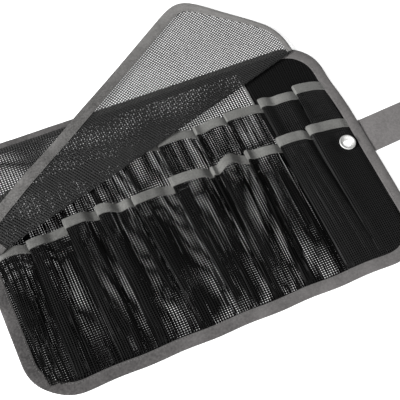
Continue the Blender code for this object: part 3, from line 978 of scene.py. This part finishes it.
# %% Tapes over the mouths
TAPE = 0.0125
TAPE_PROFILE = (
    (-TAPE, -0.0004),
    (-0.0006, -0.0005),
    (0.0004, -0.0001),
    (0.0006, 0.0006),
    (0.0001, 0.0012),
    (-0.0040, 0.0014),
    (-0.0085, 0.0013),
    (-TAPE + 0.0003, 0.0011),
    (-TAPE, 0.0006),
)
TAPE_STEPS = 34
TAPE_END = 0.997


def mouth_rings(strip, k):
    """The tape's rings over one pocket, from the hidden layer below its fold to its end."""
    top = strip.stations[0].y
    _, lengths = pocket_section(strip.name, k, top)
    start = lengths[2] / lengths[-1] if k else 0.0
    rings = []
    for step in range(TAPE_STEPS + 1):
        at = k + mixed(start, TAPE_END, step / TAPE_STEPS)
        rings.append([on_strip(strip.name, at, top + dy, lift) for dy, lift in TAPE_PROFILE])
    return rings


def mouth_tape(strip, name, node):
    parts = [swept(f"{name}_{k}", mouth_rings(strip, k), POCKET_TAPE) for k in range(COLUMNS)]
    bm = bmesh.new()
    for part in parts:
        bm.from_mesh(part.data)
        bpy.data.objects.remove(part, do_unlink=True)
    made = piece(name, bm, POCKET_TAPE, angle=45)
    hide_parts(node)
    return made


rear_tape = mouth_tape(REAR, "rear_tape", "rear_pocket_binding")
front_tape = mouth_tape(FRONT_ROW, "front_tape", "front_pocket_binding")

# %% [markdown]
# ## The flap
# The flap is a second net, sewn in along the back edge. It lies forward over the mouths
# and is folded back over itself on a slant, so its free edge points to the back and hangs
# past the panel. Its pattern is laid out flat first and then folded along the slanted line.

# %% The fold and the flap's heights
FLAP_DEPTH = 0.194
FLAP_HALF = 0.249
FOLD_END = Vector((RIGHT - 0.048, BACK - 0.017, 0))
FOLD_ANGLE = math.radians(16.5)
ALONG_FOLD = Vector((math.cos(FOLD_ANGLE), math.sin(FOLD_ANGLE), 0))
OVER_FOLD = Vector((-math.sin(FOLD_ANGLE), math.cos(FOLD_ANGLE), 0))
FOLD_RADIUS = 0.0016
FLAP_TAIL = 0.017
FLAP_BACK = 0.0045
OVER_REAR = 0.0098
OVER_FRONT = 0.0128
RISE = 0.050
RISE_AT_LEFT = 0.028
FALL = 0.5
FALL_REACH = 0.240
FALL_FADE = 0.120
BEHIND_MOUTHS = 0.028
FRONT_RISE = 0.020
FRONT_RISE_REACH = 0.110
FRONT_RISE_FADE = 0.060
UNDER_WAVE = 0.0005
OVER_WAVE = 0.0006
PAST_BINDING = 0.0013
PAST_LENGTH = 0.055
PAST_DROP = 0.0034


def under_height(x, y):
    """How high the flap's lower layer lies: from the back binding up over the mouths."""
    border = BACK - BINDING
    y = min(y, border)
    left_side = 1 - smooth((x - LEFT - CORNER) / CORNER)
    share = smooth((border - y) / mixed(RISE, RISE_AT_LEFT, left_side))
    fall = FALL * smooth((x - RIGHT + FALL_REACH) / FALL_FADE)
    height = FLAP_BACK + (OVER_REAR - FLAP_BACK) * share * (1 - fall)
    to_front = smooth((FRONT + FRONT_STATIONS[0].y + BEHIND_MOUTHS - y) / FRONT_RISE)
    beside_front = 1 - smooth((x - LEFT - FRONT_RISE_REACH) / FRONT_RISE_FADE)
    height += (OVER_FRONT - OVER_REAR) * to_front * beside_front
    return height + UNDER_WAVE * math.sin(x * 61) * math.sin(y * 73 + 1) * share


def over_height(x, y):
    """How high the upper layer lies: on the lower one, then down past the back edge."""
    past = smooth((y - BACK - PAST_BINDING) / PAST_LENGTH)
    wave = OVER_WAVE * math.sin(x * 47 + y * 31 + 0.5)
    return under_height(x, y) + 2 * FOLD_RADIUS + wave * (1 - past) - PAST_DROP * past


def folded(flat, lift=0.0):
    """Where a point of the unfolded flap lies, lift to its outer side, once it is folded."""
    offset = flat - FOLD_END
    s, q = offset.dot(ALONG_FOLD), offset.dot(OVER_FOLD)
    turned = (FOLD_RADIUS - q) / FOLD_RADIUS
    if turned <= 0:
        return Vector((flat.x, flat.y, under_height(flat.x, flat.y) - lift))
    line = FOLD_END + ALONG_FOLD * s
    if turned <= math.pi:
        middle = line + OVER_FOLD * FOLD_RADIUS
        height = under_height(middle.x, middle.y) + FOLD_RADIUS
        reach = FOLD_RADIUS + lift
        spot = middle - OVER_FOLD * reach * math.sin(turned)
        return Vector((spot.x, spot.y, height - reach * math.cos(turned)))
    spot = line + OVER_FOLD * (2 * FOLD_RADIUS - q - math.pi * FOLD_RADIUS)
    return Vector((spot.x, spot.y, over_height(spot.x, spot.y) + lift))


# %% [markdown]
# The pattern's sides are tables of points: how far down from the back edge, and how far out
# from the middle. A curve through them gives the free edge, from the fold's right end
# round the bottom to the left.

# %% The flap's pattern
RIGHT_SIDE = (
    (0.168, 0.965),
    (0.250, 0.987),
    (0.343, 0.994),
    (0.475, 0.970),
    (0.671, 0.924),
    (0.832, 0.890),
    (0.915, 0.866),
    (0.965, 0.835),
    (0.990, 0.790),
    (1.000, 0.720),
)
LEFT_SIDE = (
    (0.130, 0.855),
    (0.200, 0.930),
    (0.280, 0.965),
    (0.400, 0.977),
    (0.840, 0.977),
    (0.930, 0.950),
    (0.985, 0.890),
    (1.000, 0.800),
)


EDGE_STEP = 0.004
EDGE_ROUNDINGS = 6
LEFT_ROOT = 0.015


def flap_edge():
    fold_start = FOLD_END - OVER_FOLD * (math.pi - 1) * FOLD_RADIUS
    corners = [fold_start + ALONG_FOLD * FLAP_TAIL]
    corners += [Vector((o * FLAP_HALF, BACK - d * FLAP_DEPTH, 0)) for d, o in RIGHT_SIDE]
    corners += [Vector((-o * FLAP_HALF, BACK - d * FLAP_DEPTH, 0)) for d, o in LEFT_SIDE[::-1]]
    line = [corners[0]]
    for a, b in zip(corners, corners[1:]):
        parts = max(1, round((b - a).length / EDGE_STEP))
        line += [a.lerp(b, part / parts) for part in range(1, parts + 1)]
    for _ in range(EDGE_ROUNDINGS):
        middle = [(a + b + c) / 3 for a, b, c in zip(line, line[1:], line[2:])]
        line = [line[0]] + middle + [line[-1]]
    return line


def moved_in(line, distance):
    moved = []
    for i, point in enumerate(line):
        along = (line[min(i + 1, len(line) - 1)] - line[max(i - 1, 0)]).normalized()
        moved.append(point + Vector((along.y, -along.x, 0)) * distance)
    return moved


FREE_EDGE = flap_edge()
NET_EDGE = moved_in(FREE_EDGE, BINDING / 2)
SEWN_IN = BACK - BINDING * 0.6
PATTERN = [Vector((NET_EDGE[0].x, SEWN_IN, 0))] + NET_EDGE
PATTERN += [Vector((NET_EDGE[-1].x + LEFT_ROOT, SEWN_IN, 0))]
print("flap edge points:", len(FREE_EDGE))


# %% Flap net and its tape
def unfolded(flat):
    return Vector((flat.x - FLAP_HALF, BACK - FLAP_DEPTH + flat.y, 0))


# The flap's net gets the paler coating, as painted light.
flap_net = net(
    "flap_net",
    2 * FLAP_HALF,
    FLAP_DEPTH,
    lambda flat: folded(unfolded(flat), flat.z),
    lambda middle: inside(unfolded(middle), PATTERN),
    FLAP_YARN,
    2.9,
    LIT_FLAP_NET,
)
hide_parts("flap")

FLAP_PROFILE = (
    (1.00, 0.0008),
    (0.53, 0.0010),
    (0.08, 0.0009),
    (0.00, 0.0003),
    (0.00, -0.0003),
    (0.08, -0.0009),
    (0.53, -0.0010),
    (1.00, -0.0008),
)
NARROW = 0.0078
NARROW_UNTIL = 0.060
WIDE_FROM = 0.210


def flap_widths():
    """The tape's width along the free edge: its first part stands a little on its edge."""
    widths, reach = [], 0.0
    for a, b in zip(FREE_EDGE, FREE_EDGE[1:] + FREE_EDGE[-1:]):
        share = smooth((reach - NARROW_UNTIL) / (WIDE_FROM - NARROW_UNTIL))
        widths.append(mixed(NARROW, BINDING, share))
        reach += (b - a).length
    return widths


def edge_inset(share):
    """The free edge moved in by a share of the tape's width."""
    widths = flap_widths()
    full = moved_in(FREE_EDGE, 1.0)
    return [a.lerp(b, share * width) for a, b, width in zip(FREE_EDGE, full, widths)]


def flap_tape():
    lines = [edge_inset(share) for share, _ in FLAP_PROFILE]
    rings = []
    for i in range(len(FREE_EDGE)):
        pairs = zip(lines, FLAP_PROFILE)
        rings.append([folded(line[i], lift) for line, (_, lift) in pairs])
    return swept("flap_tape", rings, FLAP_TAPE)


flap_edge_tape = flap_tape()
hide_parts("flap_binding")

# %% [markdown]
# The black cloth was cut from the loom's edge: its pale selvage shows as a thin line where
# it meets the net, from under the flap to the rear pockets.

# %% Selvage
SELVAGE_PROFILE = (
    (-0.0034, 0.0012),
    (-0.0008, 0.0012),
    (-0.0008, 0.0022),
    (-0.0021, 0.0025),
    (-0.0034, 0.0022),
)
SELVAGE_STEPS = 24


def selvage():
    rings = []
    for step in range(SELVAGE_STEPS + 1):
        y = mixed(FRONT + REAR_STATIONS[2].y, BACK - BINDING, step / SELVAGE_STEPS)
        rings.append([Vector((SEAM + x, y, z)) for x, z in SELVAGE_PROFILE])
    return swept("selvage", rings, SELVAGE)


seam_edge = selvage()
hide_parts("end_panel")

# %% [markdown]
# ## Strap and eyelet
# The strap is a flat webbing, sewn under the panel's right edge and cut off square. The
# eyelet is turned: its ring is a rolled flange round a dished hole.

# %% Closing strap
STRAP_REACH = 0.090
STRAP_ROOT = 0.013
STRAP_PRESSED = 0.0004
STRAP_HELD = 0.004
STRAP_EASED = 0.012
STRAP_BASE = 0.0001
STRAP_STEPS = 52
STRAP_TURN = math.radians(3.5)
STRAP_AT = EYELET.y + 0.0015
STRAP_PROFILE = (
    (-0.0250, 0.0003),
    (-0.0244, 0.0001),
    (0.0244, 0.0001),
    (0.0250, 0.0003),
    (0.0250, 0.0012),
    (0.0243, 0.0015),
    (0.0125, 0.0016),
    (0.0000, 0.0016),
    (-0.0125, 0.0016),
    (-0.0243, 0.0015),
    (-0.0250, 0.0012),
)


def strap():
    """The webbing, pressed a little flatter where the binding holds it."""
    turn = Matrix.Rotation(STRAP_TURN, 4, "Z")
    rings = []
    for step in range(STRAP_STEPS + 1):
        x = mixed(-STRAP_ROOT, STRAP_REACH, step / STRAP_STEPS)
        flat = STRAP_PRESSED * (1 - smooth((x + STRAP_HELD) / STRAP_EASED))
        ring = [turn @ Vector((x, y, max(z - flat, STRAP_BASE))) for y, z in STRAP_PROFILE]
        rings.append([point + Vector((RIGHT, STRAP_AT, 0)) for point in ring])
    return swept("strap", rings, WEBBING)


strap_piece = strap()
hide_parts("closing_strap")

# %% Eyelet
EYELET_TOP = 0.0062
EYELET_PROFILE = (
    (0.0054, 0.0004),
    (0.0110, 0.0002),
    (0.0110, 0.0008),
    (0.0064, 0.0010),
    (0.0064, EYELET_TOP - 0.0024),
    (0.0106, EYELET_TOP - 0.0012),
    (0.0110, EYELET_TOP - 0.0007),
    (0.0109, EYELET_TOP - 0.0001),
    (0.0103, EYELET_TOP + 0.0004),
    (0.0096, EYELET_TOP + 0.0005),
    (0.0088, EYELET_TOP + 0.0002),
    (0.0076, EYELET_TOP - 0.0008),
    (0.0063, EYELET_TOP - 0.0019),
    (0.0054, EYELET_TOP - 0.0030),
)


def eyelet_ring():
    bm = bmesh.new()
    verts = [bm.verts.new((EYELET.x + r, EYELET.y, z)) for r, z in EYELET_PROFILE]
    edges = [bm.edges.new(pair) for pair in zip(verts, verts[1:] + verts[:1])]
    bmesh.ops.spin(
        bm,
        geom=verts + edges,
        axis=(0, 0, 1),
        cent=(EYELET.x, EYELET.y, 0),
        angle=2 * math.pi,
        steps=72,
        use_merge=True,
    )
    bmesh.ops.recalc_face_normals(bm, faces=bm.faces)
    return piece("eyelet", bm, PLATED, angle=40)


eyelet = eyelet_ring()
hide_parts("grommet")

# %% [markdown]
# ## Stitches
# Each stitch is a small grain of thread. They run along the inner edge of every tape.

# %% Stitches along a line
STITCH_STEP = 0.0036
STITCH_LONG = 0.0013
STITCH_THICK = 0.00035
STITCH_POINTS = 21
STITCH_ROW = TAPE - 0.0018
STITCH_INSET = 0.0022
FLAP_ROW = 0.86
ON_BINDING = 0.0034
ON_FLAP = 0.0009
ON_MOUTH = 0.0012


def spaced(line, step):
    """Points and directions at an even step along a line of points."""
    found = []
    reach = step / 2
    for a, b in zip(line, line[1:]):
        length = (b - a).length
        while reach <= length:
            found.append((a.lerp(b, reach / length), (b - a).normalized()))
            reach += step
        reach -= length
    return found


def add_stitch(bm, spot, along):
    up = Vector((0, 0, 1))
    side = up.cross(along).normalized()
    up = along.cross(side).normalized()
    axes = Matrix((along * STITCH_LONG, side * STITCH_THICK, up * STITCH_THICK)).transposed()
    place = Matrix.Translation(spot) @ axes.to_4x4()
    bmesh.ops.create_icosphere(bm, subdivisions=1, radius=1, matrix=place)


def stitches(name, lines):
    bm = bmesh.new()
    for line in lines:
        for spot, along in spaced(line, STITCH_STEP):
            add_stitch(bm, spot, along)
    made = piece(name, bm, THREAD, angle=180)
    return made


binding_line = panel_outline(BINDING - STITCH_INSET, height=ON_BINDING)
edge_stitches = stitches("edge_stitches", [binding_line + binding_line[:1]])
flap_line = [folded(point, ON_FLAP) for point in edge_inset(FLAP_ROW)]
flap_stitches = stitches("flap_stitches", [flap_line])


def mouth_stitch_line(strip, k):
    top = strip.stations[0].y
    _, lengths = pocket_section(strip.name, k, top)
    start = lengths[4] / lengths[-1] if k else 0.03
    last = STITCH_POINTS - 1
    shares = [mixed(start, 0.97, step / last) for step in range(STITCH_POINTS)]
    return [on_strip(strip.name, k + share, top - STITCH_ROW, ON_MOUTH) for share in shares]


rows = [mouth_stitch_line(strip, k) for strip in (REAR, FRONT_ROW) for k in range(COLUMNS)]
pocket_stitches = stitches("pocket_stitches", rows)

# %% [markdown]
# ## All the pieces are made

print("pieces made")

# %% [markdown]
# ## Floor and light
# The wrap lies on a white light table: the ground glows a little, so it stays white in
# every hole of the net, and hardly any shadow shows beside the wrap. The light from above
# is soft and comes mostly from the left: each pleat is lit there and fades into its tuck.

# %% Floor
FLOOR_HALF = 6
FLOOR_GLOW = 0.60
SKY = 0.17

floor_bm = bmesh.new()
bmesh.ops.create_grid(floor_bm, x_segments=1, y_segments=1, size=FLOOR_HALF)
floor_mesh = bpy.data.meshes.new("floor")
floor_bm.to_mesh(floor_mesh)
floor_bm.free()
PAPER, tree, shader = new_finish("paper", (0.80, 0.80, 0.80), 1.0, 0.0)
shader.inputs["Emission Color"].default_value = (1, 1, 1, 1)
shader.inputs["Emission Strength"].default_value = FLOOR_GLOW
floor_mesh.materials.append(PAPER)
floor = bpy.data.objects.new("floor", floor_mesh)
scene.collection.objects.link(floor)

# %% Light
world = bpy.data.worlds.new("studio")
world.use_nodes = True
background = world.node_tree.nodes["Background"]
background.inputs["Color"].default_value = (1, 1, 1, 1)
background.inputs["Strength"].default_value = SKY
scene.world = world


def area_light(name, spot, size, power):
    data = bpy.data.lights.new(name, "AREA")
    data.shape = "SQUARE"
    data.size = size
    data.energy = power
    obj = bpy.data.objects.new(name, data)
    direction = Vector((0, 0, 0)) - Vector(spot)
    aim = direction.to_track_quat("-Z", "Y").to_matrix().to_4x4()
    obj.matrix_world = Matrix.Translation(spot) @ aim
    scene.collection.objects.link(obj)
    print(f"{name}: {power} W")


area_light("key", (-2.1, 0.0, 1.30), size=0.9, power=165)
area_light("front", (0.3, -2.0, 1.5), size=1.6, power=34)

view_settings = scene.view_settings
view_settings.view_transform = "Standard"
view_settings.look = "None"
